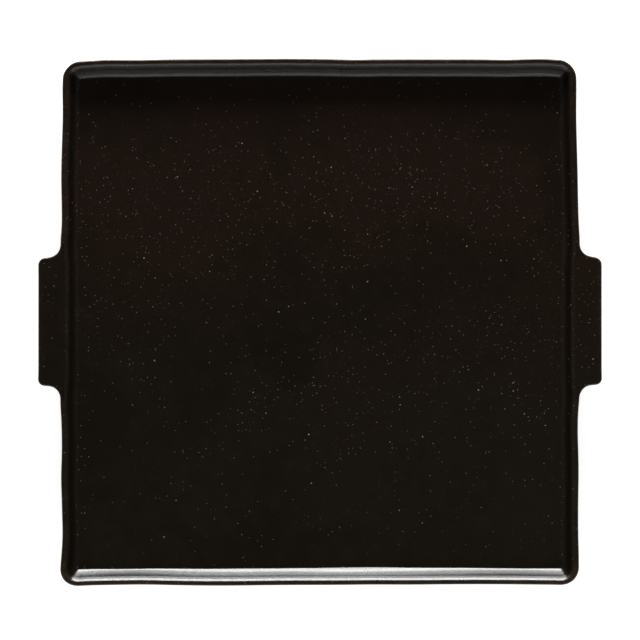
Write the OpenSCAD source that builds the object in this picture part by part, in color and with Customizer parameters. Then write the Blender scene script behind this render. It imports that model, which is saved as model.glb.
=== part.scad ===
// Square stoneware serving platter with a low flared rim and a flat tab handle on each side.
// The clay members are laid up as separate pieces: a floor slab with a bevelled edge, four
// wall strips and four foot strips mitred at the corners, and two handles let into the rim.
// Millimetres, +Z up. The origin is on the table, under the middle of the platter.
// +X runs from handle to handle and -Y is the front.

/* [Dish] */
// Width between the outer edges of the side walls, handles not counted
platter_w = 275; // [180:1:420]
// Depth from the front edge to the back edge
platter_d = 280; // [180:1:420]
// Depth of the well, from the floor up to the rim
well_depth = 7.2; // [5:0.1:30]
// Thickness of the floor slab
floor_t = 7; // [4:0.5:12]
// Radius of the floor's corners inside the wall, seen from above
floor_corner_r = 0.6; // [0.4:0.1:20]

/* [Wall] */
// Lean of the wall's outer face from upright, in degrees
outer_lean = 16; // [3:1:20]
// Lean of the wall's inner face from upright, in degrees
inner_lean = 31.5; // [20:0.5:40]
// Radius of the rim's outer edge
rim_outer_r = 0.8; // [0.4:0.1:1]
// Distance from the platter's outer edge in to where the rim's top meets its bevel
bevel_in = 2.2; // [1.8:0.1:6]
// Width of the bevel on the rim's inner edge
bevel_w = 1.75; // [1:0.05:4]
// Slope of the bevel from level, in degrees
bevel_slope = 40; // [25:1:45]
// Radius of the turn from the rim's top into the bevel
bevel_r = 1.2; // [0.5:0.1:1.8]
// Radius of the turn from the bevel into the wall's inner face
face_r = 9; // [2:0.5:15]
// Height above the floor at which the inner face turns into the cove
cove_h = 2.2; // [1:0.1:3]
// Slope of the cove where it comes down to the floor, in degrees
cove_slope = 41; // [25:1:45]
// Radius of the turn from the inner face into the cove
cove_r = 16; // [4:0.5:25]
// Radius of the turn from the cove into the floor
cove_foot_r = 1.4; // [0.5:0.1:3]
// Radius of the heel where the wall turns under the floor
heel_r = 2.5; // [1:0.1:4]

/* [Handles] */
// How far a handle stands out from the wall
handle_reach = 12.5; // [10:0.5:40]
// Length of a handle along its outer edge, before its corners are rounded
handle_l = 67.5; // [40:0.5:120]
// Thickness of a handle
handle_t = 6.5; // [5.5:0.5:10]
// Angle by which each end of a handle splays towards the wall, in degrees
handle_splay = 6; // [0:1:25]
// Radius of a handle's outer corners, seen from above
handle_corner_r = 3.7; // [3:0.1:6]
// Radius of the fillets between a handle and the wall, seen from above
handle_root_r = 7; // [2:0.5:10]
// Radius of a handle's lower edge
handle_under_r = 2.2; // [0.5:0.1:2.8]

/* [Foot] */
// Height of the foot
foot_h = 5.5; // [2.5:0.5:10]
// Width of the foot where it meets the floor
foot_w = 7.5; // [6:0.5:12]
// Distance from the platter's outer edge in to the foot
foot_inset = 18; // [10:1:50]
// Radius of the foot's outer corners, seen from above
foot_corner_r = 16; // [14:1:40]
// Lean of the foot's two faces, in degrees
foot_lean = 12; // [0:1:15]
// Radius of the foot's lower edges
foot_edge_r = 1.2; // [0.4:0.1:1.4]

/* [Hidden] */

// Straight pieces that approximate each rounded corner of a section
arc_steps = 8;
// Facets of a full turn, for the corners of the platter
$fn = 96;
// Length that carries a cut clear of the piece it cuts
overshoot = 20;

glaze_colour = "#1d1612";
clay_colour = "#6b4a36";

// Heights above the table
floor_top_z = foot_h + floor_t;
rim_z = floor_top_z + well_depth;
handle_under_z = rim_z - handle_t;

// Corners of the wall's section before rounding, measured outwards from the platter's edge.
// The rounded outer edge of the rim reaches exactly to zero.
rim_outer_x = rim_outer_r * (1 / cos(outer_lean) + tan(outer_lean) - 1);
face_x = -bevel_in - bevel_w;
face_z = rim_z - bevel_w * tan(bevel_slope);
cove_z = floor_top_z + cove_h;
cove_x = face_x - (face_z - cove_z) * tan(inner_lean);
cove_foot_x = cove_x - cove_h / tan(cove_slope);
heel_x = rim_outer_x - (rim_z - foot_h) * tan(outer_lean);

// Where the cove runs out on the floor and the heel runs out under it
cove_end_x = cove_foot_x - tangent_length(cove_foot_r, 180 - cove_slope);
heel_end_x = heel_x - tangent_length(heel_r, 90 + outer_lean);

// Middle of the flat land along the top of the rim, where a handle is let in
land_outer_x = rim_outer_x - tangent_length(rim_outer_r, 90 - outer_lean);
land_inner_x = -bevel_in + tangent_length(bevel_r, 180 - bevel_slope);
seat_x = (land_outer_x + land_inner_x) / 2;

// Outside corner radius of the platter, from the floor's corner and the wall's width
corner_r = ceil(10 * (floor_corner_r - cove_end_x)) / 10;

// How far the floor's bevelled edge laps its flat middle, and where that middle stops
floor_lap = floor_corner_r / 2;
middle_x = cove_end_x - floor_lap / 2;

// Plan of half a handle, with its wall along x = 0: end_facing is the way its end looks
end_facing = 90 - handle_splay;
end_normal = [cos(end_facing), sin(end_facing)];
end_offset = end_normal * [handle_reach, handle_l / 2];
root_c = [
    handle_root_r,
    (end_offset + handle_root_r - end_normal.x * handle_root_r) / end_normal.y
];

// Rounded edge of a handle from its underside up to its top, as [outwards, height] points
handle_edge = concat(
    rounding([-handle_reach, handle_under_z], [0, handle_under_z], [0, rim_z], handle_under_r),
    rounding([0, handle_under_z], [0, rim_z], [-handle_reach, rim_z], rim_outer_r)
);

// Plan of a handle at one [outwards, height] point of its edge, run on into the leaning wall
function handle_outline(edge) =
    let (
        inset = -edge.x,
        splay = tan(handle_splay),
        wall_x = min(edge.x, rim_outer_x - (rim_z - edge.y) * tan(outer_lean)),
        tip_x = handle_reach - inset,
        end_y = (end_offset - inset) / end_normal.y,
        wall_point = [wall_x, root_c.y + overshoot],
        root_point = [wall_x, end_y - wall_x * splay],
        tip_point = [tip_x, end_y - tip_x * splay],
        half = concat(
            [[-overshoot, root_c.y]],
            rounding(wall_point, root_point, tip_point, handle_root_r + inset),
            rounding(root_point, tip_point, [tip_x, 0], handle_corner_r - inset)
        )
    )
    concat(half, [for (i = [len(half) - 1 : -1 : 0]) [half[i].x, -half[i].y]]);

// Distance from a corner of this angle to where a rounding of radius r begins
function tangent_length(r, angle) = r / tan(angle / 2);

function unit(v) = v / norm(v);

// Angle between the two edges that meet at p, on the way from point a to point b
function corner_angle(a, p, b) = acos(unit(a - p) * unit(b - p));

// Points of the arc that rounds the corner at p, on the way from point a to point b
function rounding(a, p, b, r) =
    let (
        to_a = unit(a - p),
        to_b = unit(b - p),
        half = corner_angle(a, p, b) / 2,
        centre = p + unit(to_a + to_b) * r / sin(half),
        first = p + to_a * r / tan(half) - centre,
        turn = 180 - 2 * half,
        side = sign(to_a.x * to_b.y - to_a.y * to_b.x)
    )
    [for (i = [0 : arc_steps]) centre + turned(first, -side * turn * i / arc_steps)];

function turned(v, angle) = [
    v.x * cos(angle) - v.y * sin(angle),
    v.x * sin(angle) + v.y * cos(angle)
];

// Outline of a section given as [x, z, radius] corners. Two roundings that don't both fit on the
// edge between them are drawn in together until they do.
function rounded(corners) =
    let (
        count = len(corners),
        at = [for (c = corners) [c.x, c.y]],
        before = [for (i = [0 : count - 1]) at[(i + count - 1) % count]],
        after = [for (i = [0 : count - 1]) at[(i + 1) % count]],
        taken = [
            for (i = [0 : count - 1])
                tangent_length(corners[i].z, corner_angle(before[i], at[i], after[i]))
        ],
        share = [
            for (i = [0 : count - 1])
                min(1, norm(after[i] - at[i]) / (taken[i] + taken[(i + 1) % count]))
        ]
    )
    [
        for (i = [0 : count - 1])
            let (r = corners[i].z * min(share[i], share[(i + count - 1) % count]))
            each r == 0 ? [at[i]] : rounding(before[i], at[i], after[i], r)
    ];

// Carries a section along a straight line; the section's +x points along the facing angle
module straight(middle, length, facing) {
    translate([middle.x, middle.y, 0])
        rotate([90, 0, facing])
            linear_extrude(length, center = true) children();
}

// Carries a section round an outside corner
module outside_turn(centre, r, from, sweep) {
    translate([centre.x, centre.y, 0])
        rotate([0, 0, from])
            rotate_extrude(angle = sweep)
                translate([r, 0]) children();
}

// One side of a square frame: a straight run and half of the corner at each end, mitred
module frame_side(half_width, depth, r) {
    run = depth - 2 * r;
    straight([half_width, 0], run, 0) children();
    outside_turn([half_width - r, run / 2], r, 0, 45) children();
    outside_turn([half_width - r, -run / 2], r, -45, 45) children();
}

// Turns a side drawn at +X to the right, back, left or front, counted from 0
module on_side(side) {
    rotate([0, 0, 90 * side]) children();
}

// Half of the platter's size towards a side, and the length of that side
function half_width(side) = (side % 2 == 0 ? platter_w : platter_d) / 2;
function side_length(side) = side % 2 == 0 ? platter_d : platter_w;

module wall_section() {
    polygon(rounded([
        [cove_end_x, floor_top_z, 0],
        [cove_foot_x, floor_top_z, cove_foot_r],
        [cove_x, cove_z, cove_r],
        [face_x, face_z, face_r],
        [-bevel_in, rim_z, bevel_r],
        [rim_outer_x, rim_z, rim_outer_r],
        [heel_x, foot_h, heel_r],
        [heel_end_x, foot_h, 0]
    ]));
}

module floor_edge_section() {
    polygon([
        [cove_end_x - floor_lap, foot_h],
        [heel_end_x, foot_h],
        [cove_end_x, floor_top_z],
        [cove_end_x - floor_lap, floor_top_z]
    ]);
}

// Plan of a plate with round corners
module rounded_plate(width, depth, r) {
    square([width - 2 * r, depth], center = true);
    square([width, depth - 2 * r], center = true);
    for (x = [-1, 1], y = [-1, 1])
        translate([x * (width / 2 - r), y * (depth / 2 - r)]) circle(r);
}

module foot_section() {
    taper = foot_h * tan(foot_lean);
    polygon(rounded([
        [0, foot_h, 0],
        [-foot_w, foot_h, 0],
        [-foot_w + taper, 0, foot_edge_r],
        [-taper, 0, foot_edge_r]
    ]));
}

// The slot that a handle takes in the wall, from its leaning seat outwards
module handle_room(length) {
    straight([0, 0], length, 0)
        polygon([
            [seat_x, rim_z],
            [seat_x - handle_t * tan(outer_lean), handle_under_z],
            [handle_reach + overshoot, handle_under_z],
            [handle_reach + overshoot, rim_z]
        ]);
}

// A handle's plate with its rounded edges, running on into the wall
module handle_tab() {
    rows = len(handle_edge);
    outlines = [for (edge = handle_edge) handle_outline(edge)];
    columns = len(outlines[0]);
    points = [
        for (row = [0 : rows - 1])
            for (p = outlines[row]) [p.x, p.y, handle_edge[row].y]
    ];
    last = columns - 1;
    top_start = (rows - 1) * columns;
    underside = [for (i = [0 : columns / 2 - 2]) [last - i, last - i - 1, i + 1, i]];
    top = [
        for (i = [0 : columns / 2 - 2])
            [for (k = [i, i + 1, last - i - 1, last - i]) top_start + k]
    ];
    sides = [
        for (row = [0 : rows - 2])
            for (i = [0 : columns - 1])
                let (
                    a = row * columns + i,
                    b = row * columns + (i + 1) % columns
                )
                each [[a, b, b + columns], [a, b + columns, a + columns]]
    ];
    polyhedron(points, concat(underside, top, sides));
}

// A handle standing out along +X from a wall whose outer edge is at x = 0
module handle() {
    color(glaze_colour)
        intersection() {
            handle_tab();
            handle_room(2 * root_c.y);
        }
}

module floor_slab() {
    color(glaze_colour) {
        translate([0, 0, foot_h])
            linear_extrude(floor_t)
                rounded_plate(platter_w + 2 * middle_x, platter_d + 2 * middle_x, corner_r + middle_x);
        for (side = [0 : 3])
            on_side(side)
                frame_side(half_width(side), side_length(side), corner_r) floor_edge_section();
    }
}

// A front or back wall
module plain_wall(side) {
    color(glaze_colour)
        on_side(side)
            frame_side(half_width(side), side_length(side), corner_r) wall_section();
}

// A left or right wall, with the slot that its handle is let into
module handle_wall(side) {
    color(glaze_colour)
        on_side(side)
            difference() {
                frame_side(half_width(side), side_length(side), corner_r) wall_section();
                translate([half_width(side), 0, 0]) handle_room(2 * root_c.y);
            }
}

module foot_strip(side) {
    color(clay_colour)
        on_side(side)
            frame_side(half_width(side) - foot_inset, side_length(side) - 2 * foot_inset, foot_corner_r)
                foot_section();
}

module side_handle(side) {
    on_side(side)
        translate([half_width(side), 0, 0]) handle();
}

floor_slab();
handle_wall(0);  // wall_right
plain_wall(1);  // wall_back
handle_wall(2);  // wall_left
plain_wall(3);  // wall_front
foot_strip(0);  // foot_right
foot_strip(1);  // foot_back
foot_strip(2);  // foot_left
foot_strip(3);  // foot_front
side_handle(2);  // handle_left
side_handle(0);  // handle_right
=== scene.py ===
import collections
import math

import bpy
import numpy as np
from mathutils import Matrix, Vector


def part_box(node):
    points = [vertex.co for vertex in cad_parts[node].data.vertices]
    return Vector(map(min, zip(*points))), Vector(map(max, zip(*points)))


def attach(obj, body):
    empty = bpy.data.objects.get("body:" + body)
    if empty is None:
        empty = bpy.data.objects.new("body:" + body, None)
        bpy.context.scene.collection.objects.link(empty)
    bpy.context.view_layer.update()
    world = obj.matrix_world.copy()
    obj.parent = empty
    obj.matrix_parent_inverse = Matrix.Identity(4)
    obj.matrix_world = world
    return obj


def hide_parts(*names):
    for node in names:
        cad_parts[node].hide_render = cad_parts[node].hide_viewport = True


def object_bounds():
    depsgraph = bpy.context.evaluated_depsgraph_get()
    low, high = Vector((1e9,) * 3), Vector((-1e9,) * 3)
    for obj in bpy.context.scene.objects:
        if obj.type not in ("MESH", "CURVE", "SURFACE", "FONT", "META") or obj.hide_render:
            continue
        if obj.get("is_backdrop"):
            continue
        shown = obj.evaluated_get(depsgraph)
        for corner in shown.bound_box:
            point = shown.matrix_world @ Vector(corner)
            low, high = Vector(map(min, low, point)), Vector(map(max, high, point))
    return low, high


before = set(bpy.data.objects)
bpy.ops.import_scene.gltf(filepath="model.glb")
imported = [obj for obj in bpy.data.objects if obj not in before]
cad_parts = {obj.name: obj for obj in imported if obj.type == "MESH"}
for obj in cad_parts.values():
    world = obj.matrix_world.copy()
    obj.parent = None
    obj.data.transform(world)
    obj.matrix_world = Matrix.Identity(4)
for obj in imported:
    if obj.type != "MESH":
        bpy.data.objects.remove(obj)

bl_info = {
    "name": "Square serving platter",
    "version": (1, 0, 0),
    "blender": (4, 5, 0),
    "location": "3D View > Sidebar > Platter",
    "description": "Stoneware platter with tab handles, a speckled dark glaze and a bare foot",
    "category": "Add Mesh",
}

CAD_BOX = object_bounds()
MM = 0.001

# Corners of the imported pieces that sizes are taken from
SLAB_LOW, SLAB_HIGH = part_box("floor_slab")
SIDE_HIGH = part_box("wall_right")[1]
BACK_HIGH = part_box("wall_back")[1]
HANDLE_LOW, HANDLE_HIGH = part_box("handle_right")
FOOT_SIDE_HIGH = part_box("foot_right")[1]
FOOT_BACK_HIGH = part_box("foot_back")[1]

# The four sides in order, each a quarter turn on from the one before
SIDES = ("right", "back", "left", "front")

# How finely the pieces are divided
ARC_STEPS = 12
CORNER_STEPS = 10
STATION_SPACING = 3 * MM
SECTION_SPACING = 1.2 * MM
WELD = 1e-6

# An edge of this radius or less has the thinnest glaze
SHARP_R = 0.8 * MM
# Faces tilted from level by these angles start to take painted shade, and take all of it
SHADE_TILTS = (math.radians(42), math.radians(54))
# How thin the glaze drains on the rim's outer edge, how far in from it that reaches, and how far down
RIM_THIN = 0.36
RIM_DRAIN_IN = 5.4 * MM
RIM_DRAIN_DOWN = 2.4 * MM
# How far in from a handle's seat the rim's glaze is as thin as elsewhere
SEAT_DRAIN_IN = 1.2 * MM
# How far in from a handle's outer edge its glaze is thin
HANDLE_DRAIN_IN = 7 * MM
# Attribute that says where the glaze is thin, up to 1, and where steep faces take painted shade, down to
# -1
THIN_AND_SHADE = "glaze_thin"
# How far a handle's slot goes on past the fillets at the handle's root
SLOT_SPARE = 0.5 * MM

# Swells and hollows of the hand-built sides, in millimetres: place along the side, width, how far out.
# The place is counted from the middle of the side, towards the back or towards the right.
SWELLS = {
    "right": (
        (112, 28, -0.95), (50, 12, 0.3), (-47, 6, -0.2),
        (-58, 8, -0.2), (-80, 12, 0.25), (-126, 10, 0.35),
    ),
    "back": (
        (-126, 10, -0.75), (-100, 16, -0.4), (-17, 25, 0.3),
        (18, 10, -0.25), (98, 9, -0.2), (117, 8, 0.2),
    ),
    "left": (
        (112, 14, -0.45), (77, 14, 0.35), (-50, 10, 0.25),
        (-83, 10, 0.4), (-112, 10, -0.35), (-130, 9, 0.5),
    ),
    "front": (
        (-127, 10, 0.25), (-94, 14, -0.25), (-53, 26, 0.35),
        (28, 14, -0.15), (85, 40, -0.4),
    ),
}
# Soft clay drawn out of a side wall beside each handle, in millimetres: place, width, how far out
HANDLE_DRAW = (41, 8, 0.7)
# How far each handle sits towards the back, in millimetres
HANDLE_SHIFTS = {"right": 0.8, "left": 0.2}
# How far in from a side wall's edge, and how far along it from the middle, that shift dies away
HANDLE_ROOM = 12 * MM
HANDLE_SPAN = 60 * MM
# How far in from the edge the swells die away
SWELL_DEPTH = 40 * MM
# Foot of the front wall's cove worked out or in, in millimetres: place along it, width, how far out
COVE_SWELLS = ((-103, 22, 0.5), (-42, 14, -0.12), (22, 28, -0.42), (104, 26, 0.36))
# How far in from the edge they start
COVE_SWELL_IN = 4.2 * MM
# Corners of the platter, then two of the handles, worked out or in along their diagonal, in
# millimetres: x, y, width, how far out
CORNER_PUSHES = (
    (-135, -137, 7, 1.1), (135, -137, 7, 0.4), (-134, 136, 9, -1.0), (134, 136, 9, -0.8),
    (-149, 34, 4, -0.35), (149, 34, 4, -0.6),
)
# Middle of the painted dark reflection on the floor, in millimetres, and how far it reaches
REFLECTION_MIDDLE = (-18, -19)
REFLECTION_RADIUS = 24 * MM
# Slow rise and fall of the rim, in millimetres: height, wavelength along x, along y, phase
RIM_WAVES = ((0.16, 310, 420, 0.4), (0.10, -170, 230, 2.1), (0.06, 90, -130, 4.4))

# Kinds of specks: size of the cells that hold one each at most, and the largest radius
COARSE_SPECKS = (2.1 * MM, 0.30 * MM)
DUST_SPECKS = (1.3 * MM, 0.16 * MM)
RARE_SPECKS = (6 * MM, 0.42 * MM)
IRON_SPECKS = (1.9 * MM, 0.3 * MM)
# How much of a speck's radius has its full colour, and how strong the faintest specks are
SPECK_CORE = 0.55
FAINTEST_SPECK = 0.35
# Places in y over which the glaze reddens, breaks paler on its front edges (partly thinner glaze, partly
# painted light from the front), and gains specks from front and back
BLUSH_Y = (-40 * MM, 80 * MM)
FRONT_BREAK_AND_LIGHT_Y = (-118 * MM, -138 * MM)
BUSY_FRONT_Y = (-150 * MM, 60 * MM)
BUSY_BACK_Y = (120 * MM, 80 * MM)
# How far from the foot of a side wall's cove the specks that catch there begin, and are at their most
CAUGHT_WITHIN = (2.2 * MM, 0.6 * MM)
# How far under the floor the foot's glaze and its toasted halo end, and how far both wander
GLAZE_END = (1.15 * MM, 0.95 * MM)
HALO_END = (2.0 * MM, 1.0 * MM)
GLAZE_WANDER = 2.2 * MM

# The last field is the glaze's thinness; below 0 it is the painted shade of steep faces
Section = collections.namedtuple("Section", "points normals thin")
Path = collections.namedtuple("Path", "edge facing")
Lamp = collections.namedtuple("Lamp", "kind distance way")

# Each lamp's settings, how far it stands from the platter, and its way round from the back in degrees
LAMPS = {
    "key_softbox": Lamp("key", 1.15, 0),
    "front_card": Lamp("fill", 1.3, 180),
    "left_softbox": Lamp("side", 1.4, 148),
    "right_softbox": Lamp("side", 1.4, -148),
    "left_card": Lamp("wing", 1.3, 90),
    "right_card": Lamp("wing", 1.3, -90),
}


def length(name, description, default):
    """A size in metres."""
    return bpy.props.FloatProperty(
        name=name, description=description, default=default,
        precision=5, subtype="DISTANCE", unit="LENGTH",
    )


def angle(name, description, degrees):
    """An angle, given here in degrees."""
    return bpy.props.FloatProperty(
        name=name, description=description, default=math.radians(degrees),
        subtype="ANGLE", unit="ROTATION",
    )


def share(name, description, default):
    """A number from 0 to 1."""
    return bpy.props.FloatProperty(
        name=name, description=description, default=default, min=0.0, max=1.0, subtype="FACTOR"
    )


def colour(name, description, default):
    """A linear colour."""
    return bpy.props.FloatVectorProperty(
        name=name, description=description, default=default, size=3, min=0.0, max=1.0, subtype="COLOR"
    )


def amount(name, description, default):
    """A plain number of no unit."""
    return bpy.props.FloatProperty(name=name, description=description, default=default, min=0.0)


class PlatterSizes(bpy.types.PropertyGroup):
    """Sizes of the platter's sections and plan."""

    half_width: length("Half width", "From the middle to the outer edge of a side wall", SIDE_HIGH.x)
    half_depth: length("Half depth", "From the middle to the outer edge of the back wall", BACK_HIGH.y)
    rim_z: length("Rim height", "Height of the rim above the table", BACK_HIGH.z)
    floor_z: length("Floor height", "Height of the well's floor above the table", SLAB_HIGH.z)
    foot_z: length("Foot height", "Height of the floor's underside above the table", SLAB_LOW.z)
    corner_r: length("Corner radius", "Outside radius of the platter's corners", 9.8 * MM)
    outer_lean: angle("Outer lean", "Lean of the wall's outer face from upright", 16)
    inner_lean: angle("Inner lean", "Lean of the wall's inner face from upright", 31.5)
    rim_outer_r: length("Outer rim radius", "Radius of the rim's outer edge", 0.8 * MM)
    bevel_in: length("Bevel inset", "From the outer edge to where the bevel starts", 2.2 * MM)
    bevel_w: length("Bevel width", "Width of the bevel on the rim's inner edge", 1.75 * MM)
    bevel_slope: angle("Bevel slope", "Slope of the bevel from level", 40)
    bevel_r: length("Bevel radius", "Radius of the turn from the rim's top into the bevel", 1.2 * MM)
    face_r: length("Face radius", "Radius of the turn from the bevel into the inner face", 9 * MM)
    cove_h: length("Cove height", "Height above the floor where the inner face meets the cove", 2.2 * MM)
    cove_slope: angle("Cove slope", "Slope of the cove where it comes down to the floor", 41)
    cove_r: length("Cove radius", "Radius of the turn from the inner face into the cove", 16 * MM)
    cove_foot_r: length("Cove foot radius", "Radius of the turn from the cove into the floor", 1.4 * MM)
    heel_r: length("Heel radius", "Radius where the wall turns under the floor", 2.5 * MM)
    handle_reach: length("Handle reach", "How far a handle stands out", HANDLE_HIGH.x - SIDE_HIGH.x)
    handle_z: length("Handle underside", "Height of a handle's underside", HANDLE_LOW.z)
    handle_l: length("Handle length", "Along the outer edge, before its corners are rounded", 67.5 * MM)
    handle_splay: angle("Handle splay", "How far each end of a handle splays towards the wall", 6)
    handle_corner_r: length("Handle corner radius", "Radius of a handle's outer corners", 3.7 * MM)
    handle_root_r: length("Handle root radius", "Radius of the fillets beside the wall", 7 * MM)
    handle_under_r: length("Handle lower radius", "Radius of a handle's lower edge", 2.2 * MM)
    foot_half_width: length("Foot half width", "From the middle to its outer edge", FOOT_SIDE_HIGH.x)
    foot_half_depth: length("Foot half depth", "From the middle to its back edge", FOOT_BACK_HIGH.y)
    foot_w: length("Foot width", "Width of the foot where it meets the floor", 7.5 * MM)
    foot_corner_r: length("Foot corner radius", "Radius of the foot's outer corners", 16 * MM)
    foot_lean: angle("Foot lean", "Lean of the foot's two faces", 12)
    foot_edge_r: length("Foot edge radius", "Radius of the foot's lower edges", 1.2 * MM)
    foot_fillet_r: length("Foot fillet radius", "Radius of the clay smoothed in above it", 1.4 * MM)


class GlazeLook(bpy.types.PropertyGroup):
    """Colours and finish of the glaze."""

    dark: colour("Dark glaze", "Where the glaze is thick", (0.0088, 0.0058, 0.0028))
    light: colour("Light glaze", "Where the glaze is a little thinner", (0.0124, 0.0082, 0.0042))
    blush: colour("Blush", "Redder glaze towards the back", (0.0160, 0.0076, 0.0047))
    # Painted shade: the darker colour that steep faces take
    run: colour("Glaze run", "Where the glaze runs thick down a steep face", (0.0062, 0.0036, 0.0018))
    # Painted reflection: a darker patch on the floor near the middle
    pool: colour("Glaze pool", "Where the glaze pooled near the middle", (0.0062, 0.0040, 0.0022))
    edge: colour("Edge break", "Where the glaze thins over an edge", (0.09, 0.057, 0.036))
    speck: colour("Specks", "Pale specks in the glaze", (0.25, 0.22, 0.185))
    bright_speck: colour("Bright specks", "The few larger specks", (0.44, 0.39, 0.33))
    roughness: share("Roughness", "Middle roughness of the satin surface", 0.255)
    pit_depth: length("Pit depth", "Depth of the fine pits", 0.004 * MM)


class ClayLook(bpy.types.PropertyGroup):
    """Colours and finish of the bare clay."""

    body: colour("Clay", "Fired brown stoneware", (0.105, 0.062, 0.038))
    toasted: colour("Toasted clay", "Darker, redder patches", (0.066, 0.034, 0.020))
    iron: colour("Iron specks", "Dark specks in the clay", (0.018, 0.011, 0.008))
    roughness: share("Roughness", "Middle roughness of the clay", 0.84)
    grain_depth: length("Grain depth", "Depth of the clay's grain", 0.05 * MM)


class StudioLook(bpy.types.PropertyGroup):
    """The stage: camera, lights and floor."""

    frame_width: length("Frame width", "Width that the picture takes in at the rim", 340.6 * MM)
    camera_height: length("Camera height", "From the rim up to the camera", 1.6)
    camera_y: length("Camera offset", "How far the camera stands towards the back", 1.13 * MM)
    key_radiance: amount("Key light", "Radiance of the softbox behind the platter", 37.0)
    key_elevation: angle("Key elevation", "Height of the softbox's middle, seen from the platter", 13)
    key_width: length("Key width", "From the softbox's left edge to its right one", 0.8)
    key_height: length("Key height", "From the softbox's lower edge to its upper one", 0.24)
    fill_radiance: amount("Fill light", "Radiance of the card in front of the platter", 5.0)
    fill_elevation: angle("Fill elevation", "Height of the card's middle, seen from the platter", 13.5)
    fill_width: length("Fill width", "From the card's left edge to its right one", 3.0)
    fill_height: length("Fill height", "From the card's lower edge to its upper one", 0.1)
    side_radiance: amount("Side light", "Radiance of the two softboxes in front of the corners", 1.85)
    side_elevation: angle("Side elevation", "Height of their middles, seen from the platter", 40)
    side_width: length("Side width", "From the left edge of each to its right one", 0.8)
    side_height: length("Side height", "From the lower edge of each to its upper one", 0.8)
    wing_radiance: amount("Wing light", "Radiance of the dim cards to the left and right", 0.07)
    wing_elevation: angle("Wing elevation", "Height of the cards' middles, seen from the platter", 14)
    wing_width: length("Wing width", "From the near edge of each card to its far one", 1.6)
    wing_height: length("Wing height", "From the lower edge of each card to its upper one", 0.4)
    room: colour("Room", "Light from the dim room all round", (0.025, 0.025, 0.025))
    floor: colour("Floor", "Pale studio floor", (0.8, 0.8, 0.8))
    floor_glow: share("Floor white", "How near to white the floor shows where it is in shadow", 0.8)


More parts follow.
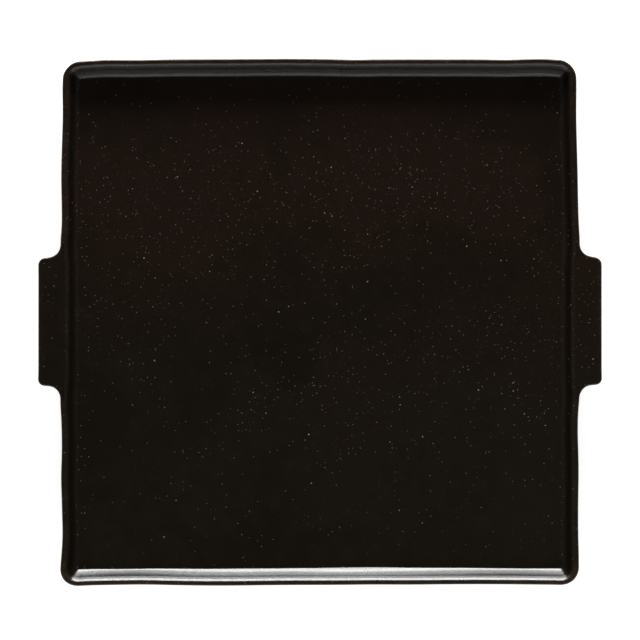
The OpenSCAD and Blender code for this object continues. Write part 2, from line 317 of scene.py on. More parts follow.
class Plan:
    """Places in the platter's sections and plan that follow from its sizes."""

    def __init__(self, sizes):
        self.sizes = sizes
        # Outer face, from the rim down to where the wall turns under the floor
        lean = math.tan(sizes.outer_lean)
        self.rim_outer_x = sizes.rim_outer_r * (1 / math.cos(sizes.outer_lean) + lean - 1)
        self.heel_x = self.rim_outer_x - (sizes.rim_z - sizes.foot_z) * lean
        self.heel_end_x = self.heel_x - sizes.heel_r * math.tan((math.pi / 2 - sizes.outer_lean) / 2)
        # Inner face and cove, from the bevel down to the floor
        bevel_fall = sizes.bevel_w * math.tan(sizes.bevel_slope)
        self.inner_face = np.array((-sizes.bevel_in - sizes.bevel_w, sizes.rim_z - bevel_fall))
        cove_z = sizes.floor_z + sizes.cove_h
        cove_x = self.inner_face[0] - (self.inner_face[1] - cove_z) * math.tan(sizes.inner_lean)
        self.cove = np.array((cove_x, cove_z))
        self.cove_foot_x = cove_x - sizes.cove_h / math.tan(sizes.cove_slope)
        self.cove_end_x = self.cove_foot_x - sizes.cove_foot_r * math.tan(sizes.cove_slope / 2)
        # Seat of a handle, from halfway across the rim's level land down to the handle's underside
        rim_turn = math.pi / 2 + sizes.outer_lean
        land_outer = self.rim_outer_x - sizes.rim_outer_r * math.tan(rim_turn / 2)
        land_inner = sizes.bevel_r * math.tan(sizes.bevel_slope / 2) - sizes.bevel_in
        self.seat_x = (land_outer + land_inner) / 2
        self.seat_foot_x = self.seat_x - (sizes.rim_z - sizes.handle_z) * lean
        self.face_x = self.rim_outer_x - (sizes.rim_z - sizes.handle_z) * lean
        # Plan of a handle: the line of its end, and the centres of its root fillet and outer corner
        facing = math.pi / 2 - sizes.handle_splay
        self.end_facing = facing
        self.end_offset = math.cos(facing) * sizes.handle_reach + math.sin(facing) * sizes.handle_l / 2
        root_r = sizes.handle_root_r
        root_y = (self.end_offset + root_r - math.cos(facing) * root_r) / math.sin(facing)
        self.root_centre = np.array((root_r, root_y))
        tip_x = sizes.handle_reach - sizes.handle_corner_r
        tip_y = (self.end_offset - sizes.handle_corner_r - math.cos(facing) * tip_x) / math.sin(facing)
        self.tip_centre = np.array((tip_x, tip_y))
        self.slot_y = root_y + SLOT_SPARE

    def wall_section(self, at_handle=False):
        """The wall's outline from the floor over the rim to the underside, and two marks on it."""
        sizes = self.sizes
        seat = (self.seat_x, sizes.rim_z)
        face = (self.face_x, sizes.handle_z)
        line = section((
            (self.cove_end_x, sizes.floor_z, 0),
            (self.cove_foot_x, sizes.floor_z, sizes.cove_foot_r),
            (*self.cove, sizes.cove_r),
            (*self.inner_face, sizes.face_r),
            (-sizes.bevel_in, sizes.rim_z, sizes.bevel_r),
            (*seat, 0),
            (self.rim_outer_x, sizes.rim_z, sizes.rim_outer_r),
            (*face, 0),
            (self.heel_x, sizes.foot_z, sizes.heel_r),
            (self.heel_end_x, sizes.foot_z, 0),
        ))
        marks = [int(np.argmin(np.linalg.norm(line.points - mark, axis=1))) for mark in (seat, face)]
        in_from_edge, below_rim = -line.points[:, 0], sizes.rim_z - line.points[:, 1]
        drained = smooth(2 - 2 * in_from_edge / RIM_DRAIN_IN) * smooth(1 - below_rim / RIM_DRAIN_DOWN)
        if at_handle:
            drained *= smooth((in_from_edge + self.seat_x) / SEAT_DRAIN_IN)
        return line._replace(thin=line.thin + drained * np.maximum(RIM_THIN - line.thin, 0)), marks

    def half_towards(self, side):
        """Half of the platter's size towards a side."""
        return (self.sizes.half_width, self.sizes.half_depth)[side % 2]

    def stations(self, side):
        """Places along the straight run of a side, with stops at the ends of a handle's slot."""
        run = self.half_towards(side + 1) - self.sizes.corner_r
        stops = (-run, run) if side % 2 else (-run, -self.slot_y, self.slot_y, run)
        parts = [np.linspace(a, b, steps_between(a, b) + 1) for a, b in zip(stops, stops[1:])]
        return np.concatenate([parts[0]] + [part[1:] for part in parts[1:]])

    def wall_path(self, side):
        """The platter's outer edge along one side, from mitre to mitre."""
        return side_path(self.half_towards(side), self.sizes.corner_r, self.stations(side), side)


def steps_between(a, b):
    """How many divisions a stretch takes."""
    return math.ceil((b - a) / STATION_SPACING)


def smooth(value):
    """Runs smoothly from 0 to 1 as the value does."""
    value = np.clip(value, 0, 1)
    return value * value * (3 - 2 * value)


def section(corners):
    """Follows [x, z, radius] corners and rounds each bend: points, left-hand normals, and thinness with
    painted shade on steep faces.
    """
    places = np.array([corner[:2] for corner in corners])
    legs = np.diff(places, axis=0)
    headings = np.arctan2(legs[:, 1], legs[:, 0])
    headings = np.concatenate((headings[:1], headings, headings[-1:]))
    rows = []
    for place, corner, come, go in zip(places, corners, headings, headings[1:]):
        radius = corner[2]
        turn = math.remainder(go - come, math.tau)
        part = np.linspace(0, 1, ARC_STEPS + 1) if radius > 0 else np.array((0.5,))
        heading = come + turn * part
        left = np.column_stack((-np.sin(heading), np.cos(heading)))
        back = radius * math.tan(abs(turn) / 2)
        start = place - back * np.array((math.cos(come), math.sin(come)))
        points = start + math.copysign(radius, turn) * (left[0] - left)
        sharp = min(1, SHARP_R / radius) ** 3 if radius > 0 and turn < 0 else 0
        tilt = np.arccos(np.clip(np.abs(left[:, 1]), 0, 1))
        # Steep faces take painted shade, counted below 0
        run = smooth((tilt - SHADE_TILTS[0]) / (SHADE_TILTS[1] - SHADE_TILTS[0]))
        rows.append(np.column_stack((points, left, sharp * np.sin(math.pi * part) - run)))
    rows = np.concatenate(rows)
    filled = [rows[:1]]
    for a, b in zip(rows, rows[1:]):
        count = max(1, math.ceil(np.linalg.norm(b[:2] - a[:2]) / SECTION_SPACING))
        filled.append(a + (b - a) * np.arange(1, count + 1)[:, None] / count)
    filled = np.concatenate(filled)
    return Section(filled[:, :2], filled[:, 2:4], filled[:, 4])


def stretch(line, first, last):
    """Part of a section, both ends counted."""
    return Section(*(column[first:last + 1] for column in line))


def outline(*lines):
    """The ring that sections make together, each starting where the one before it ends."""
    return Section(*(np.concatenate([part[:-1] for part in parts]) for parts in zip(*lines)))


def side_path(half, corner_r, along, side):
    """One side of a square frame's edge, from the middle of a corner to the middle of the next."""
    turns = np.linspace(0, math.pi / 4, CORNER_STEPS + 1)
    facing = np.concatenate((-turns[::-1], np.zeros(len(along) - 2), turns))
    facing = np.column_stack((np.cos(facing), np.sin(facing)))
    ends = np.ones(CORNER_STEPS)
    middle = np.concatenate((along[0] * ends, along, along[-1] * ends))
    edge = np.column_stack((np.full(len(middle), half - corner_r), middle)) + corner_r * facing
    return Path(quarter_turned(edge, side), quarter_turned(facing, side))


def quarter_turned(places, side):
    """Turns plan places by a quarter for each side on from the right-hand one."""
    for _ in range(side):
        places = np.column_stack((-places[:, 1], places[:, 0]))
    return places


def carried(line, path):
    """Carries a section along a path: grids of places, normals, and thinness with painted shade, one row
    to a station.
    """
    across = path.facing[:, None, :]
    places = np.empty((len(path.edge), len(line.points), 3))
    normals = np.empty_like(places)
    places[..., :2] = path.edge[:, None, :] + across * line.points[None, :, :1]
    places[..., 2] = line.points[:, 1]
    normals[..., :2] = across * line.normals[None, :, :1]
    normals[..., 2] = line.normals[:, 1]
    return places, normals, np.broadcast_to(line.thin, places.shape[:2])


def along_path(path, station):
    """The way that a path runs at a station."""
    x, y = path.facing[station]
    return np.array((-y, x, 0.0))


def level_sheet(places, up):
    """A grid of places with normals straight up or down, no thinned edges and no painted shade."""
    normals = np.zeros_like(places)
    normals[..., 2] = up
    return places, normals, np.zeros(places.shape[:2])


def swell(along, swells):
    """How far out a side stands at each place along it."""
    return sum(MM * out * np.exp(-((along / MM - place) / width) ** 2) for place, width, out in swells)


def hand_built(places, sizes):
    """Gives places the platter's hand-built unevenness; the foot still stands flat."""
    x, y, z = places.T
    moved = places.copy()
    # The axis and the way that a side faces, places across it, its distance, and places along it
    edges = {
        "right": (0, 1, x, sizes.half_width, y), "left": (0, -1, x, sizes.half_width, y),
        "back": (1, 1, y, sizes.half_depth, x), "front": (1, -1, y, sizes.half_depth, x),
    }
    at, width, out = HANDLE_DRAW
    beside_handle = ((at, width, out), (-at, width, out))
    for side, (axis, sign, across, half, along) in edges.items():
        near = smooth((sign * across - half + SWELL_DEPTH) / SWELL_DEPTH)
        swells = SWELLS[side] + (beside_handle if axis == 0 else ())
        moved[:, axis] += sign * near * swell(along, swells)
        if axis == 0:
            beside = smooth((sign * x - half + HANDLE_ROOM) / HANDLE_ROOM)
            moved[:, 1] += MM * HANDLE_SHIFTS[side] * beside * np.exp(-(y / HANDLE_SPAN) ** 4)
    from_front = y + sizes.half_depth
    cove_in = -Plan(sizes).cove_foot_x
    near = smooth((from_front - COVE_SWELL_IN) / (cove_in - COVE_SWELL_IN))
    near *= smooth((SWELL_DEPTH - from_front) / (SWELL_DEPTH - cove_in))
    moved[:, 1] -= near * swell(x, COVE_SWELLS)
    for corner_x, corner_y, width, out in CORNER_PUSHES:
        near = np.exp(-((x / MM - corner_x) ** 2 + (y / MM - corner_y) ** 2) / width ** 2)
        diagonal = MM * out * near / math.sqrt(2)
        moved[:, 0] += math.copysign(1, corner_x) * diagonal
        moved[:, 1] += math.copysign(1, corner_y) * diagonal
    for height, wave_x, wave_y, phase in RIM_WAVES:
        wave = np.sin(math.tau * (x / wave_x + y / wave_y) / MM + phase)
        moved[:, 2] += MM * height * wave * z / sizes.rim_z
    return moved


def hand_built_normals(places, normals, vertices, sizes):
    """Carries normals at corners of faces through the same unevenness."""
    step = 0.05 * MM
    slopes = [
        (hand_built(places + way, sizes) - hand_built(places - way, sizes)) / (2 * step)
        for way in step * np.eye(3)
    ]
    turned = np.linalg.inv(np.stack(slopes, axis=-1))[vertices]
    normals = np.einsum("nji,nj->ni", turned, normals)
    return normals / np.linalg.norm(normals, axis=1, keepdims=True)


class ClayPiece:
    """Gathers the faces of one closed piece and makes its mesh."""

    def __init__(self):
        self.blocks = []

    def sheet(self, places, normals, thin):
        """Adds a grid of four-sided faces."""
        block = []
        for grid in (places, normals, thin):
            corners = (grid[:-1, :-1], grid[1:, :-1], grid[1:, 1:], grid[:-1, 1:])
            block.append(np.stack(corners, axis=2).reshape(-1, 4, *grid.shape[2:]))
        self.blocks.append(block)

    def flat(self, places, normal):
        """Adds one flat face, hidden where two pieces meet."""
        normals = np.broadcast_to(normal, places.shape)
        self.blocks.append([places[None], normals[None], np.zeros((1, len(places)))])

    def swept(self, path, *lines):
        """Adds the sheets that sections make along a path."""
        for line in lines:
            self.sheet(*carried(line, path))

    def mitred(self, ring, path):
        """Adds the flat faces that close both ends of a path."""
        places = carried(ring, path)[0]
        for station, way in ((0, -1), (-1, 1)):
            self.flat(places[station], way * along_path(path, station))

    def wound(self):
        """The blocks with every face wound to look the way of its normals."""
        for places, normals, thin in self.blocks:
            spokes = places - places[:, :1]
            looks = np.cross(spokes, np.roll(spokes, -1, axis=1)).sum(axis=1)
            wrong = np.einsum("ni,ni->n", looks, normals.sum(axis=1)) < 0
            block = [places.copy(), normals.copy(), thin.copy()]
            for column in block:
                column[wrong] = column[wrong][:, ::-1]
            yield block

    def make(self, name, node, slot, material, sizes):
        """Makes the mesh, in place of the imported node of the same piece."""
        blocks = list(self.wound())
        corners = np.concatenate([places.reshape(-1, 3) for places, _, _ in blocks])
        normals = np.concatenate([normals.reshape(-1, 3) for _, normals, _ in blocks])
        thin = np.concatenate([thin.ravel() for _, _, thin in blocks])
        _, first, vertices = np.unique(
            np.round(corners / WELD).astype(np.int64), axis=0, return_index=True, return_inverse=True
        )
        vertices = vertices.ravel()
        counts = np.concatenate([np.full(len(places), places.shape[1]) for places, _, _ in blocks])
        # A corner that welds to the next one drops out, and a face left with two corners is none
        faces, kept = [], []
        start = 0
        for count in counts:
            ring = range(start, start + count)
            ring = [k for k in ring if vertices[k] != vertices[start + (k - start + 1) % count]]
            if len(ring) > 2:
                faces.append(vertices[ring].tolist())
                kept.extend(ring)
            start += count
        places = corners[first]
        mesh = bpy.data.meshes.new(name)
        mesh.from_pydata(hand_built(places, sizes).tolist(), [], faces)
        if mesh.validate():
            raise RuntimeError(f"{name} has faces that don't hold together")
        mesh.shade_smooth()
        mesh.normals_split_custom_set(
            hand_built_normals(places, normals[kept], vertices[kept], sizes).tolist()
        )
        point_thin_and_shade = np.full(len(places), -1, np.float32)
        np.maximum.at(point_thin_and_shade, vertices, thin)
        mesh.attributes.new(THIN_AND_SHADE, "FLOAT", "POINT").data.foreach_set("value", point_thin_and_shade)
        mesh.materials.append(material)
        piece = bpy.data.objects.new(name, mesh)
        bpy.context.scene.collection.objects.link(piece)
        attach(piece, "root")
        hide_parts(node)
        return piece


def floor_piece(plan):
    """The floor slab: level above and below, with a bevelled edge that the walls sit on."""
    sizes = plan.sizes
    piece = ClayPiece()
    inner_x = -sizes.corner_r
    top = section(((inner_x, sizes.floor_z, 0), (plan.cove_end_x, sizes.floor_z, 0)))
    bevel = section(((plan.cove_end_x, sizes.floor_z, 0), (plan.heel_end_x, sizes.foot_z, 0)))
    under = section(((plan.heel_end_x, sizes.foot_z, 0), (inner_x, sizes.foot_z, 0)))
    for side in range(4):
        piece.swept(plan.wall_path(side), top, bevel, under)
    x, y = np.meshgrid(plan.stations(1), plan.stations(0), indexing="ij")
    for height, up in ((sizes.floor_z, 1), (sizes.foot_z, -1)):
        piece.sheet(*level_sheet(np.stack((x, y, np.full_like(x, height)), axis=-1), up))
    return piece


def wall_piece(plan, side):
    """One wall, mitred at its ends; a side wall has the slot that its handle is let into."""
    sizes = plan.sizes
    piece = ClayPiece()
    path = plan.wall_path(side)
    line, (seat, face) = plan.wall_section()
    last = len(line.points) - 1
    inner = stretch(line, 0, seat)
    upper = stretch(line, seat, face)
    lower = stretch(line, face, last)
    bevel = section(((plan.heel_end_x, sizes.foot_z, 0), (plan.cove_end_x, sizes.floor_z, 0)))
    piece.swept(path, lower, bevel)
    piece.mitred(outline(line, bevel), path)
    if side % 2:
        piece.swept(path, inner, upper)
        return piece
    run = sizes.half_depth - sizes.corner_r
    first = CORNER_STEPS + steps_between(-run, -plan.slot_y)
    after = first + steps_between(-plan.slot_y, plan.slot_y)
    before_slot = Path(path.edge[:first + 1], path.facing[:first + 1])
    slot = Path(path.edge[first:after + 1], path.facing[first:after + 1])
    past_slot = Path(path.edge[after:], path.facing[after:])
    seat_face = section(((plan.seat_x, sizes.rim_z, 0), (plan.seat_foot_x, sizes.handle_z, 0)))
    slot_floor = section(((plan.seat_foot_x, sizes.handle_z, 0), (plan.face_x, sizes.handle_z, 0)))
    at_handle = stretch(plan.wall_section(at_handle=True)[0], 0, seat)
    for rest, station, way in ((before_slot, -1, 1), (past_slot, 0, -1)):
        piece.swept(rest, inner, upper)
        upper_edge, floor_edge, seat_edge = (
            carried(part, rest)[0][station] for part in (upper, slot_floor, seat_face)
        )
        end = np.concatenate((upper_edge, floor_edge[-2::-1], seat_edge[-2:0:-1]))
        piece.flat(end, way * along_path(rest, station))
    piece.swept(slot, at_handle, seat_face, slot_floor)
    return piece


def half_handle(plan):
    """Half of a handle's outline, out from the wall: places, facings and how far each is still wall."""
    sizes = plan.sizes
    root = np.linspace(0, plan.end_facing, 2 * ARC_STEPS + 1)
    tip = root[::-1]
    facing = np.concatenate((root, tip))
    facing = np.column_stack((np.cos(facing), np.sin(facing)))
    count = len(root)
    places = np.concatenate((
        plan.root_centre - sizes.handle_root_r * facing[:count],
        plan.tip_centre + sizes.handle_corner_r * facing[count:],
    ))
    wall = np.concatenate((smooth(1 - root / plan.end_facing), np.zeros(count)))
    between = (places[count - 1] + places[count]) / 2
    places = np.insert(places, count, between, axis=0)
    facing = np.insert(facing, count, facing[count], axis=0)
    wall = np.insert(wall, count, 0)
    places = np.concatenate((((0, plan.slot_y),), places))
    facing = np.concatenate((((1, 0),), facing))
    return places, facing, np.concatenate(((1,), wall))


def handle_piece(plan, side):
    """A tab handle with rounded edges, seated in the slot of its wall."""
    sizes = plan.sizes
    piece = ClayPiece()
    places, facing, wall = half_handle(plan)
    across = np.linspace(-1, 1, steps_between(-plan.slot_y, plan.slot_y) + 1)
    tip = np.column_stack((np.full(len(across) - 2, sizes.handle_reach), -across[1:-1] * places[-1, 1]))
    mirror = np.array((1, -1))
    edge = np.concatenate((places, tip, places[::-1] * mirror))
    ahead = np.broadcast_to((1.0, 0.0), tip.shape)
    facing = np.concatenate((facing, ahead, facing[::-1] * mirror))
    wall = np.concatenate((wall, np.zeros(len(tip)), wall[::-1]))[:, None]
    line = section((
        (-sizes.rim_outer_r, sizes.rim_z, 0),
        (0, sizes.rim_z, sizes.rim_outer_r),
        (0, sizes.handle_z, sizes.handle_under_r),
        (-sizes.handle_under_r, sizes.handle_z, 0),
    ))
    grid, normals, thin = carried(line, Path(edge, facing))
    wall_line, (seat, face) = plan.wall_section()
    wall_points, wall_normals, _ = stretch(wall_line, seat + 1, face)
    height = -line.points[:, 1]

    def on_wall(column):
        return np.interp(height, -wall_points[:, 1], column)

    grid[..., 0] += wall * (on_wall(wall_points[:, 0]) - line.points[:, 0])
    wall_facing = np.zeros((len(height), 3))
    wall_facing[:, 0] = on_wall(wall_normals[:, 0])
    wall_facing[:, 2] = on_wall(wall_normals[:, 1])
    normals = normals * (1 - wall[..., None]) + wall_facing * wall[..., None]
    sheets = [(grid, normals, thin)]
    seats = []
    for row, seat_x, up in ((0, plan.seat_x, 1), (-1, plan.seat_foot_x, -1)):
        rim = grid[:len(places), row]
        tab = np.repeat(rim[1:, None, :], len(across), axis=1)
        tab[..., 1] *= across
        root = np.concatenate((rim[:1] * (1, -1, 1), tab[0], rim[:1]))
        seat_row = root.copy()
        seat_row[:, 0] = seat_x
        seats.append(seat_row)
        for cap in (np.stack((seat_row, root)), tab):
            level, level_normals, level_thin = level_sheet(cap, up)
            if up > 0:
                in_from_end = sizes.handle_reach - cap[..., 0]
                level_thin = RIM_THIN * smooth(1 - in_from_end / HANDLE_DRAIN_IN)
            sheets.append((level, level_normals, level_thin))
    seats = np.stack(seats)
    lean = sizes.outer_lean
    seat_normals = np.broadcast_to((-math.cos(lean), 0, math.sin(lean)), seats.shape)
    sheets.append((seats, seat_normals, np.zeros(seats.shape[:2])))
    turn = 1 - side
    for sheet, sheet_normals, sheet_thin_and_shade in sheets:
        piece.sheet(to_side(sheet, plan, turn, 1), to_side(sheet_normals, plan, turn, 0), sheet_thin_and_shade)
    for station, at, way in ((0, -1, 1), (-1, 0, -1)):
        end = np.concatenate((grid[station], seats[::-1, at]))
        piece.flat(to_side(end, plan, turn, 1), np.array((0, way * turn, 0)))
    return piece


def to_side(grid, plan, turn, moved):
    """Carries a grid from a wall's outer edge to the right-hand side (1) or the left-hand one (-1)."""
    grid = np.array(grid, float)
    grid[..., 0] += moved * plan.sizes.half_width
    grid[..., :2] *= turn
    return grid


def foot_piece(plan, side):
    """One strip of the foot, smoothed into the floor above it."""
    sizes = plan.sizes
    piece = ClayPiece()
    halves = (sizes.foot_half_width, sizes.foot_half_depth)
    run = halves[(side + 1) % 2] - sizes.foot_corner_r
    along = np.linspace(-run, run, steps_between(-run, run) + 1)
    path = side_path(halves[side % 2], sizes.foot_corner_r, along, side)
    taper = sizes.foot_z * math.tan(sizes.foot_lean)
    skirt = sizes.foot_fillet_r * math.tan((math.pi / 2 + sizes.foot_lean) / 2)
    line = section((
        (skirt, sizes.foot_z, 0),
        (0, sizes.foot_z, sizes.foot_fillet_r),
        (-taper, 0, sizes.foot_edge_r),
        (taper - sizes.foot_w, 0, sizes.foot_edge_r),
        (-sizes.foot_w, sizes.foot_z, sizes.foot_fillet_r),
        (-sizes.foot_w - skirt, sizes.foot_z, 0),
    ))
    seat = section(((-sizes.foot_w - skirt, sizes.foot_z, 0), (skirt, sizes.foot_z, 0)))
    piece.swept(path, line, seat)
    piece.mitred(outline(line, seat), path)
    return piece


class Value:
    """A number in a material: Python's operators on it add Math nodes."""

    def __init__(self, finish, socket):
        self.finish = finish
        self.socket = socket

    def output(self, name):
        """Another output of the node that this one comes from."""
        return Value(self.finish, self.socket.node.outputs[name])

    def maths(self, operation, first, second):
        """Adds a Math node on two numbers."""
        return self.finish.node("ShaderNodeMath", {"operation": operation}, {0: first, 1: second})

    def __add__(self, other):
        return self.maths("ADD", self, other)

    def __sub__(self, other):
        return self.maths("SUBTRACT", self, other)

    def __rsub__(self, other):
        return self.maths("SUBTRACT", other, self)

    def __mul__(self, other):
        return self.maths("MULTIPLY", self, other)

    def __abs__(self):
        return self.finish.node("ShaderNodeMath", {"operation": "ABSOLUTE"}, {0: self})

    def __lt__(self, other):
        return self.maths("LESS_THAN", self, other)

    __radd__ = __add__
    __rmul__ = __mul__


class Finish:
    """A node tree that is written as expressions."""

    def __init__(self, tree):
        self.tree = tree
        tree.nodes.clear()

    def node(self, kind, settings=None, sockets=None):
        """Adds a node with its settings, and values or links on its sockets; gives its first output."""
        made = self.tree.nodes.new(kind)
        for key, value in (settings or {}).items():
            setattr(made, key, value)
        for key, value in (sockets or {}).items():
            socket = made.inputs[key] if isinstance(key, int) else self.named(made.inputs, key)
            if isinstance(value, Value):
                self.tree.links.new(value.socket, socket)
            else:
                socket.default_value = value
        shown = [socket for socket in made.outputs if socket.enabled]
        return Value(self, shown[0]) if shown else None

    @staticmethod
    def named(sockets, name):
        """The socket in use that has this name."""
        return next(socket for socket in sockets if socket.enabled and socket.name == name)

    def place(self):
        """Where a point of the surface is, in metres."""
        return self.node("ShaderNodeTexCoord").output("Object")

    def noise(self, place, size, detail=2.0):
        """Soft noise from 0 to 1, with features of about this size in metres."""
        sockets = {"Vector": place, "Scale": 1 / size, "Detail": detail}
        return self.node("ShaderNodeTexNoise", None, sockets)

    def smooth(self, value, low, high):
        """Runs smoothly from 0 at low to 1 at high."""
        sockets = {"Value": value, "From Min": low, "From Max": high}
        return self.node("ShaderNodeMapRange", {"interpolation_type": "SMOOTHSTEP"}, sockets)

    def mix(self, factor, first, second):
        """Runs from the first colour to the second."""
        ends = [value if isinstance(value, Value) else (*value, 1.0) for value in (first, second)]
        sockets = {"Factor": factor, "A": ends[0], "B": ends[1]}
        return self.node("ShaderNodeMix", {"data_type": "RGBA"}, sockets)

    def specks(self, place, kind, chance):
        """A mask of round specks of one kind, in that share of its cells."""
        cell, radius = kind
        cells = self.node("ShaderNodeTexVoronoi", None, {"Vector": place, "Scale": 1 / cell})
        lot = self.node("ShaderNodeSeparateColor", None, {"Color": cells.output("Color")})
        inside = self.smooth(cells.output("Distance"), radius / cell, SPECK_CORE * radius / cell)
        strength = FAINTEST_SPECK + (1 - FAINTEST_SPECK) * lot.output("Green")
        return inside * (lot < chance) * strength

    def bump(self, height, depth):
        """A normal that follows a height from 0 to 1, this deep in metres."""
        return self.node("ShaderNodeBump", None, {"Height": height, "Distance": depth, "Strength": 1.0})

    def surface(self, sockets):
        """Ends the tree with one shader."""
        shader = self.node("ShaderNodeBsdfPrincipled", None, sockets)
        self.node("ShaderNodeOutputMaterial", None, {"Surface": shader})


def new_material(name):
    """A material with an empty node tree."""
    material = bpy.data.materials.new(name)
    material.use_nodes = True
    return material, Finish(material.node_tree)


def shared_material(name, make):
    """A material that pieces share, made the first time it is asked for."""
    return bpy.data.materials.get(name) or make(name)


def glaze(name):
    """Satin brown-black glaze: clouded, brown where it thins over edges, darker on steep faces as
    painted shade, with pale specks and fine pits.
    """
    look = bpy.context.scene.platter_glaze
    sizes = bpy.context.scene.platter_sizes
    material, finish = new_material(name)
    place = finish.place()
    axes = finish.node("ShaderNodeSeparateXYZ", None, {"Vector": place})
    along_x = axes.output("X")
    along_y = axes.output("Y")
    thin = finish.node("ShaderNodeAttribute", {"attribute_name": THIN_AND_SHADE}).output("Fac")
    cloud = finish.noise(place, 90 * MM, 3.0)
    mottle = finish.noise(place, 9 * MM, 3.0)
    fine = finish.noise(place, 1.1 * MM, 2.0)
    tone = finish.smooth(cloud * 0.7 + mottle * 0.3, 0.32, 0.62)
    body = finish.mix(tone, look.dark, look.light)
    body = finish.mix(finish.smooth(along_y, *BLUSH_Y) * tone * 0.8, body, look.blush)
    # Painted shade darkens the steep faces
    body = finish.mix(finish.smooth(thin, 0.0, -1.0), body, look.run)
    # A painted dark reflection darkens a patch of the floor near the middle
    reflection_middle = (*(MM * axis for axis in REFLECTION_MIDDLE), sizes.floor_z)
    off_reflection = finish.node("ShaderNodeVectorMath", {"operation": "DISTANCE"}, {0: place, 1: reflection_middle})
    reflected = finish.smooth(off_reflection + (mottle - 0.5) * (16 * MM), REFLECTION_RADIUS, 0.3 * REFLECTION_RADIUS)
    body = finish.mix(reflected * 0.6, body, look.pool)
    # Edges break paler towards the front: partly thinner glaze, partly painted light from the front
    front = finish.smooth(along_y, *FRONT_BREAK_AND_LIGHT_Y)
    edge_break_and_light = thin * (1 + 0.4 * front) + (mottle - 0.5) * 0.4 + (fine - 0.5) * 0.3
    body = finish.mix(finish.smooth(edge_break_and_light, 0.2, 1.2), body, look.edge)
    busy = finish.smooth(along_y, *BUSY_BACK_Y) * finish.smooth(along_y, *BUSY_FRONT_Y)
    off_cove = abs(abs(along_x) - (sizes.half_width + Plan(sizes).cove_foot_x))
    caught = finish.smooth(off_cove, *CAUGHT_WITHIN) * finish.smooth(mottle, 0.36, 0.6)
    chance = 0.17 + 0.84 * busy * finish.smooth(cloud, 0.3, 0.6) + 0.4 * thin + 0.7 * caught
    coarse = finish.specks(place, COARSE_SPECKS, chance)
    dust = finish.specks(place, DUST_SPECKS, chance)
    rare = finish.specks(place, RARE_SPECKS, 0.15 + 0.35 * busy)
    shade = finish.mix(coarse + dust * 0.45, body, look.speck)
    shade = finish.mix(rare, shade, look.bright_speck)
    roughness = look.roughness - 0.05 + 0.06 * mottle + 0.05 * fine + 0.12 * (coarse + rare)
    pits = finish.noise(place, 0.6 * MM, 2.0) * 0.6 + finish.noise(place, 2.4 * MM, 2.0)
    finish.surface({
        "Base Color": shade,
        "Roughness": roughness,
        "IOR": 1.5,
        "Normal": finish.bump(pits, look.pit_depth),
    })
    return material


def bare_clay(name):
    """Unglazed brown stoneware: toasted patches, iron specks, grain, and glaze over its upper edge."""
    look = bpy.context.scene.platter_clay
    glaze_look = bpy.context.scene.platter_glaze
    sizes = bpy.context.scene.platter_sizes
    material, finish = new_material(name)
    place = finish.place()
    height = finish.node("ShaderNodeSeparateXYZ", None, {"Vector": place}).output("Z")
    patch = finish.noise(place, 22 * MM, 4.0)
    grain = finish.noise(place, 0.7 * MM, 3.0)
    fired = finish.smooth(patch * 0.75 + grain * 0.25, 0.35, 0.66)
    body = finish.mix(fired, look.toasted, look.body)
    body = finish.mix(finish.specks(place, IRON_SPECKS, 0.55), body, look.iron)
    run = height + (finish.noise(place, 11 * MM, 2.0) - 0.5) * GLAZE_WANDER
    glazed = finish.smooth(run, *(sizes.foot_z - end for end in GLAZE_END))
    halo = finish.smooth(run, *(sizes.foot_z - end for end in HALO_END))
    body = finish.mix(halo * 0.6, body, look.toasted)
    finish.surface({
        "Base Color": finish.mix(glazed, body, glaze_look.light),
        "Roughness": look.roughness + 0.1 * (grain - 0.5) - glazed * 0.5,
        "IOR": 1.5,
        "Normal": finish.bump(grain * (1 - glazed * 0.8), look.grain_depth),
    })
    return material


def set_round(sides, build, name, node, slot, material):
    """Makes one piece of a kind on each of these sides."""
    sizes = bpy.context.scene.platter_sizes
    for side in sides:
        piece = build(Plan(sizes), side)
        piece.make(f"{name}_{SIDES[side]}", f"{node}_{SIDES[side]}", slot, material, sizes)


class PLATTER_OT_floor(bpy.types.Operator):
    """Lays the glazed floor of the platter"""

    bl_idname = "platter.floor"
    bl_label = "Lay the floor"

    def execute(self, context):
        sizes = context.scene.platter_sizes
        material = shared_material("satin_glaze", glaze)
        floor_piece(Plan(sizes)).make("glazed_floor", "floor_slab", "glaze", material, sizes)
        return {"FINISHED"}


class PLATTER_OT_walls(bpy.types.Operator):
    """Raises the four glazed walls with their rim"""

    bl_idname = "platter.walls"
    bl_label = "Raise the walls"

    def execute(self, context):
        material = shared_material("satin_glaze", glaze)
        set_round((0, 1, 2, 3), wall_piece, "rim_wall", "wall", "glaze", material)
        return {"FINISHED"}


class PLATTER_OT_handles(bpy.types.Operator):
    """Lets the two tab handles into the side walls"""

    bl_idname = "platter.handles"
    bl_label = "Let in the handles"

    def execute(self, context):
        material = shared_material("satin_glaze", glaze)
        set_round((0, 2), handle_piece, "tab_handle", "handle", "glaze", material)
        return {"FINISHED"}


class PLATTER_OT_foot(bpy.types.Operator):
    """Sets the four strips of the bare foot under the floor"""

    bl_idname = "platter.foot"
    bl_label = "Set the foot"

    def execute(self, context):
        material = shared_material("bare_stoneware", bare_clay)
        set_round((0, 1, 2, 3), foot_piece, "foot_strip", "foot", "bare_clay", material)
        return {"FINISHED"}


def soft_light(name, place, target, size, radiance):
    """An area light of this radiance at a place, turned to a target."""
    light = bpy.data.lights.new(name, "AREA")
    light.shape = "RECTANGLE"
    light.size, light.size_y = size
    light.energy = radiance * math.pi * size[0] * size[1]
    lamp = bpy.data.objects.new(name, light)
    lamp.location = place
    lamp.rotation_euler = (target - lamp.location).to_track_quat("-Z", "Y").to_euler()
    bpy.context.scene.collection.objects.link(lamp)


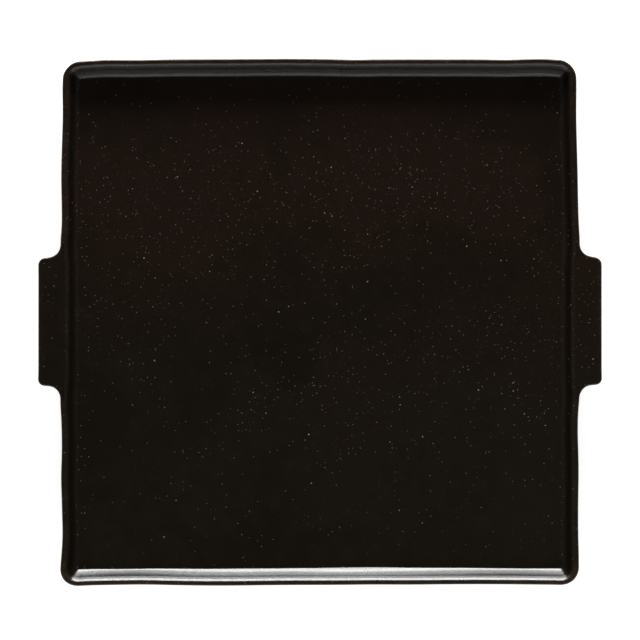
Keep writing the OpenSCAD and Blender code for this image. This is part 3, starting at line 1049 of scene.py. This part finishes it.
def polar(distance, elevation, way):
    """A place at a distance and elevation from the platter, this way round to the left from its back."""
    out = distance * math.cos(elevation)
    return (-out * math.sin(way), out * math.cos(way), distance * math.sin(elevation))


class PLATTER_OT_stage(bpy.types.Operator):
    """Sets up the camera straight above, the soft lights and the pale floor"""

    bl_idname = "platter.stage"
    bl_label = "Set the stage"

    def execute(self, context):
        scene = context.scene
        look = scene.platter_studio
        rim_z = scene.platter_sizes.rim_z
        scene.view_settings.view_transform = "Standard"
        self.camera(scene, look, rim_z)
        target = (CAD_BOX[0] + CAD_BOX[1]) / 2
        parts = ("radiance", "elevation", "width", "height")
        for name, (kind, distance, way) in LAMPS.items():
            radiance, elevation, width, height = (getattr(look, f"{kind}_{part}") for part in parts)
            place = polar(distance, elevation, math.radians(way))
            soft_light(name, place, target, (width, height), radiance)
        self.room(scene, look)
        self.floor(scene, look)
        return {"FINISHED"}

    def camera(self, scene, look, rim_z):
        """A camera that looks straight down, with the platter's back at the top of the picture."""
        lens = bpy.data.cameras.new("camera_above")
        lens.lens = lens.sensor_width * look.camera_height / look.frame_width
        camera = bpy.data.objects.new("camera_above", lens)
        camera.location = (0, look.camera_y, rim_z + look.camera_height)
        scene.collection.objects.link(camera)
        scene.camera = camera

    def room(self, scene, look):
        """The dim light of the room."""
        world = bpy.data.worlds.new("dim_studio")
        world.use_nodes = True
        finish = Finish(world.node_tree)
        shader = finish.node("ShaderNodeBackground", None, {"Color": (*look.room, 1.0)})
        finish.node("ShaderNodeOutputWorld", None, {"Surface": shader})
        scene.world = world

    def floor(self, scene, look):
        """A wide plain floor that shows near white and keeps a faint shadow."""
        reach = 20.0
        under = -0.05 * MM
        corners = [(x * reach, y * reach, under) for x, y in ((-1, -1), (1, -1), (1, 1), (-1, 1))]
        mesh = bpy.data.meshes.new("studio_floor")
        mesh.from_pydata(corners, [], [(0, 1, 2, 3)])
        material, finish = new_material("pale_floor")
        rays = finish.node("ShaderNodeLightPath")
        mirrored = rays.output("Is Glossy Ray") + rays.output("Is Transmission Ray")
        seen = rays.output("Is Camera Ray") + mirrored
        finish.surface({
            "Base Color": (*look.floor, 1.0),
            "Roughness": 1.0,
            "Specular IOR Level": 0.0,
            "Emission Color": finish.mix(seen, (0.0, 0.0, 0.0), (1.0, 1.0, 1.0)),
            "Emission Strength": look.floor_glow,
        })
        mesh.materials.append(material)
        floor = bpy.data.objects.new("studio_floor", mesh)
        scene.collection.objects.link(floor)
        floor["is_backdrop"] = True


class PLATTER_PT_parts(bpy.types.Panel):
    """Lists the platter's parts and the stage"""

    bl_idname = "PLATTER_PT_parts"
    bl_label = "Serving platter"
    bl_space_type = "VIEW_3D"
    bl_region_type = "UI"
    bl_category = "Platter"

    def draw(self, context):
        for operator in OPERATORS:
            self.layout.operator(operator.bl_idname)


OPERATORS = (PLATTER_OT_floor, PLATTER_OT_walls, PLATTER_OT_handles, PLATTER_OT_foot, PLATTER_OT_stage)
SETTINGS = {
    "platter_sizes": PlatterSizes,
    "platter_glaze": GlazeLook,
    "platter_clay": ClayLook,
    "platter_studio": StudioLook,
}


def register():
    """Adds the settings, operators and panel."""
    for kind in (*SETTINGS.values(), *OPERATORS, PLATTER_PT_parts):
        bpy.utils.register_class(kind)
    for name, kind in SETTINGS.items():
        setattr(bpy.types.Scene, name, bpy.props.PointerProperty(type=kind))


def unregister():
    """Takes them away again."""
    for name in SETTINGS:
        delattr(bpy.types.Scene, name)
    for kind in (PLATTER_PT_parts, *OPERATORS, *SETTINGS.values()):
        bpy.utils.unregister_class(kind)


def main():
    """Builds the platter and its stage."""
    register()
    bpy.ops.platter.floor()
    bpy.ops.platter.walls()
    bpy.ops.platter.handles()
    bpy.ops.platter.foot()
    bpy.ops.platter.stage()
    boxes = {"cad": CAD_BOX, "visual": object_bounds()}
    sizes = {name: [list(corner) for corner in box] for name, box in boxes.items()}


if __name__ == "__main__":
    main()
